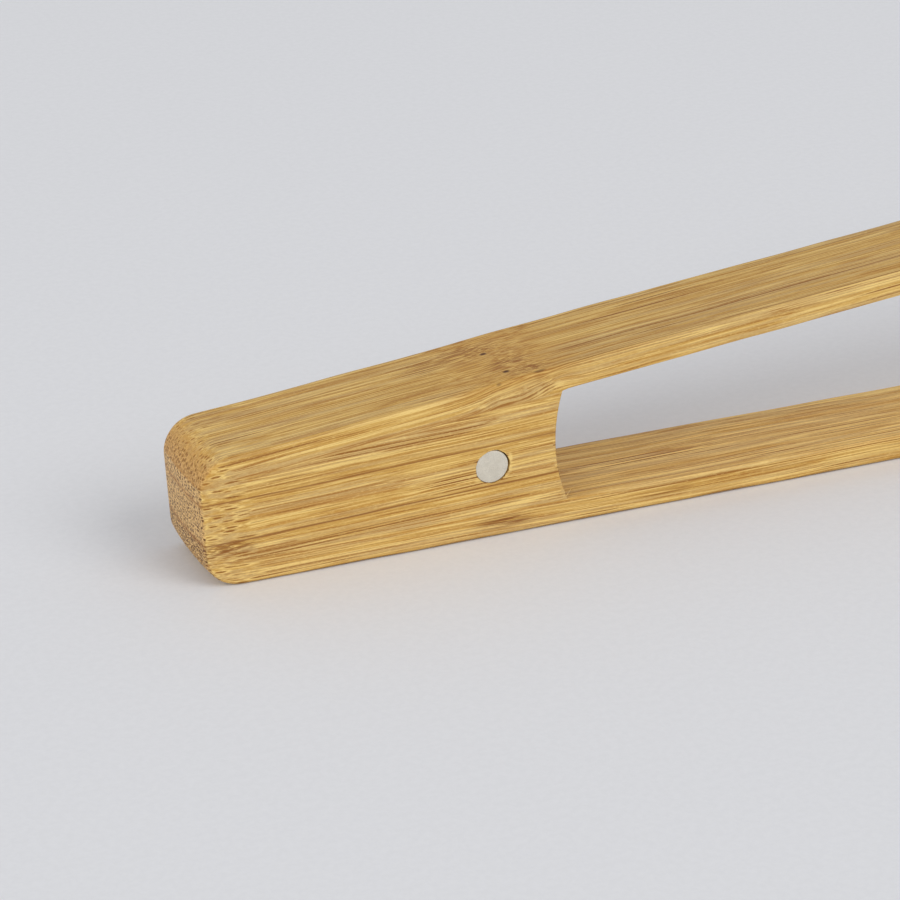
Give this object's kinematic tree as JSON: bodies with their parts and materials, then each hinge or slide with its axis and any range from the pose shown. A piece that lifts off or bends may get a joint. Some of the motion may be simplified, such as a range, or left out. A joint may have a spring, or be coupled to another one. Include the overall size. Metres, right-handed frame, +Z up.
{
  "type": "print tongs",
  "caption": "Sprung laminated bamboo print tongs: long flat arms glued to a solid wedge-shaped butt block, a round magnet flush in its side, ribbed rubber caps on the tips.",
  "frame": {"origin": "under the middle of the tongs' length, on the surface that they lie on, midway across their width", "axes": "+X from the butt to the tips, along the lower arm's flat outer face; +Y across the width, away from the magnet; +Z up, from the lower arm to the upper arm"},
  "size_m": [0.2152, 0.016, 0.0417],
  "materials": {
    "arm_bamboo": "sanded bamboo, satin, long straight fibres",
    "wedge_bamboo": "sanded bamboo, satin",
    "core_bamboo": "sanded bamboo, satin",
    "magnet_metal": "matt sanded nickel",
    "cap_rubber": "matt moulded rubber, ribbed grip"
  },
  "bodies": {
    "butt": {"core_ply": "core_bamboo", "upper_wedge_ply": "wedge_bamboo", "lower_wedge_ply": "wedge_bamboo", "magnet": "magnet_metal", "upper_arm_root": "arm_bamboo", "lower_arm_root": "arm_bamboo"},
    "upper_arm": {"upper_arm_blade": "arm_bamboo", "upper_tip_cap": "cap_rubber"},
    "lower_arm": {"lower_arm_blade": "arm_bamboo", "lower_tip_cap": "cap_rubber"}
  },
  "joints": [
    {"name": "upper_arm_flex", "type": "hinge", "parent": "butt", "child": "upper_arm", "pos_m": [-0.03309, 0, 0.02537], "axis": [0, 1, 0], "range_deg": [0, 6.2], "stiffness_Nm_per_rad": 6},
    {"name": "lower_arm_flex", "type": "hinge", "parent": "butt", "child": "lower_arm", "pos_m": [-0.03186, 0, 0.00195], "axis": [0, -1, 0], "range_deg": [0, 6.2], "stiffness_Nm_per_rad": 6}
  ]
}
